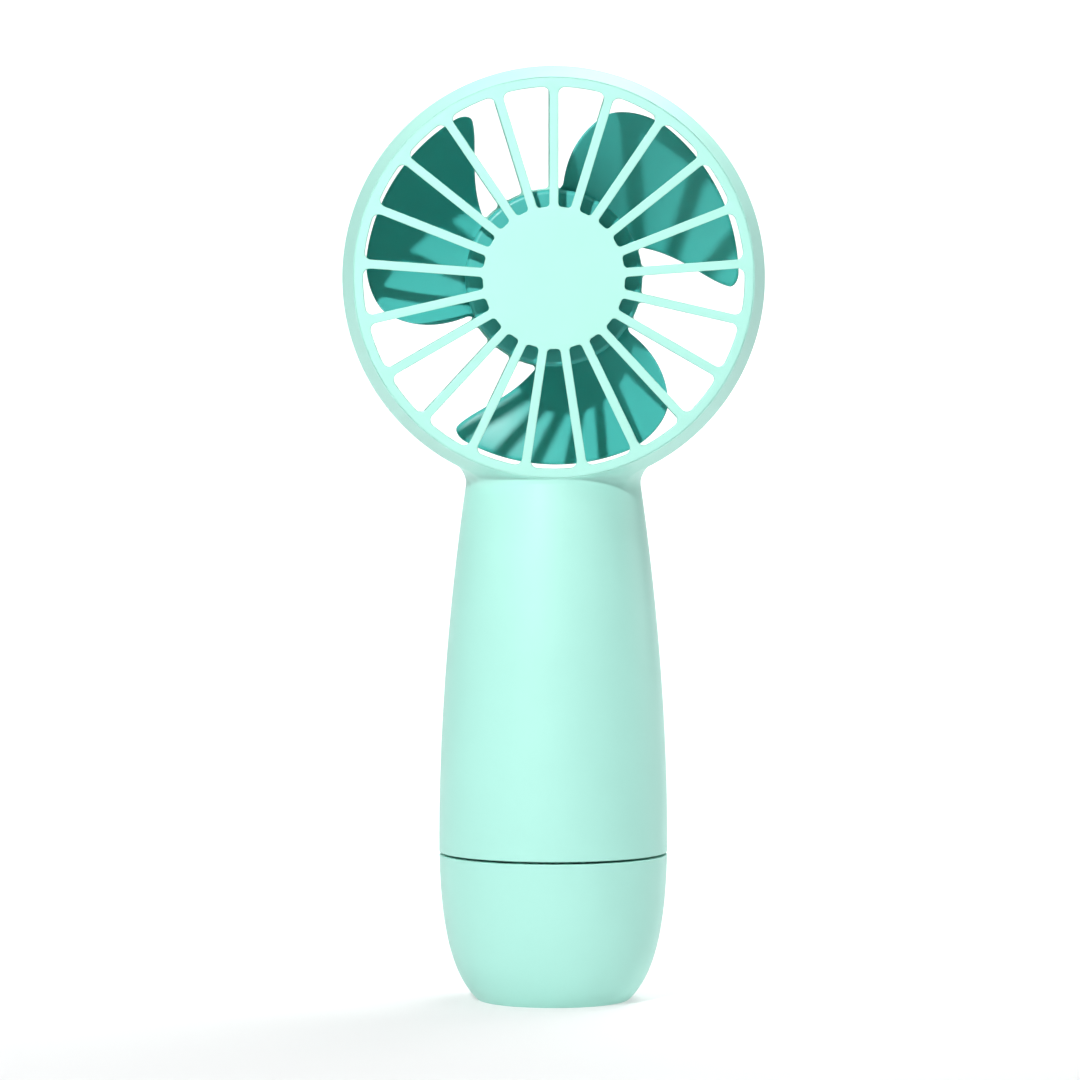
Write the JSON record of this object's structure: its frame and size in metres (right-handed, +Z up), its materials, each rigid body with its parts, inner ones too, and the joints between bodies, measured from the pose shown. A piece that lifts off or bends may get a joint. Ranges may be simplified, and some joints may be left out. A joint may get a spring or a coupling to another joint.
{
  "type": "handheld electric fan",
  "caption": "Handheld electric fan: a round spoked head with a bladed impeller on a round handle that holds a battery, closed by a screw-on bottom cap.",
  "frame": {"origin": "centre of the flat base that the fan stands on", "axes": "+Z up the handle towards the head; the fan blows towards -Y; +X is to the right seen from the front"},
  "size_m": [0.0866, 0.0474, 0.1931],
  "materials": {
    "mint_plastic": "satin moulded plastic, pale mint",
    "teal_plastic": "satin moulded plastic, teal",
    "white_plastic": "matt moulded plastic, off-white",
    "black_plastic": "matt moulded plastic, black",
    "clear_plastic": "clear gloss",
    "green_board": "solder-masked board",
    "steel": "plated steel",
    "brass": "plain brass",
    "copper_winding": "enamelled copper",
    "ferrite": "matt sintered ferrite",
    "cell_wrap": "shrink-wrapped cell",
    "red_wire": "soft insulation, red",
    "black_wire": "soft insulation, black",
    "grey_rubber": "soft rubber"
  },
  "bodies": {
    "handle": {"main_shell": "mint_plastic", "front_grille": "mint_plastic", "rear_grille": "mint_plastic", "motor_cover": "mint_plastic", "motor_end_bell": "white_plastic", "battery_cradle": "white_plastic", "motor_connector": "white_plastic", "port_tongue": "black_plastic", "control_chip": "black_plastic", "light_pipe": "clear_plastic", "status_led": "clear_plastic", "circuit_board": "green_board", "motor_can": "steel", "motor_screw_left": "steel", "motor_screw_right": "steel", "cradle_screw_left": "steel", "cradle_screw_right": "steel", "board_screw_top": "steel", "board_screw_bottom": "steel", "positive_contact": "steel", "negative_spring": "steel", "negative_strip": "steel", "charging_port": "steel", "switch_body": "steel", "front_bush": "brass", "rear_bush": "brass", "terminal_left": "brass", "terminal_right": "brass", "magnet_left": "ferrite", "magnet_right": "ferrite", "inductor": "ferrite", "capacitor": "ferrite", "battery_cell": "cell_wrap", "motor_wire_red": "red_wire", "motor_wire_black": "black_wire"},
    "rotor": {"impeller": "teal_plastic", "motor_shaft": "steel", "motor_armature": "copper_winding", "commutator": "brass"},
    "button": {"power_button": "mint_plastic", "switch_plunger": "black_plastic"},
    "seal": {"cap_seal": "grey_rubber"},
    "cap": {"bottom_cap": "mint_plastic", "foot_pad": "grey_rubber"}
  },
  "joints": [
    {"name": "fan_spin", "type": "hinge", "parent": "handle", "child": "rotor", "pos_m": [0, 0, 0.1498], "axis": [0, 1, 0], "continuous": true},
    {"name": "power_press", "type": "slide", "parent": "handle", "child": "button", "axis": [0, -1, 0], "range_m": [0, 0.0006], "stiffness_N_per_m": 600},
    {"name": "cap_lower", "type": "slide", "parent": "handle", "child": "seal", "axis": [0, 0, -1], "range_m": [0, 0.004]},
    {"name": "cap_turn", "type": "hinge", "parent": "seal", "child": "cap", "pos_m": [0, 0, 0.0306], "axis": [0, 0, -1], "range_deg": [0, 90]}
  ],
  "couplings": [
    {"joint": "cap_lower", "follows": "cap_turn", "m_per_rad": 0.002546}
  ]
}
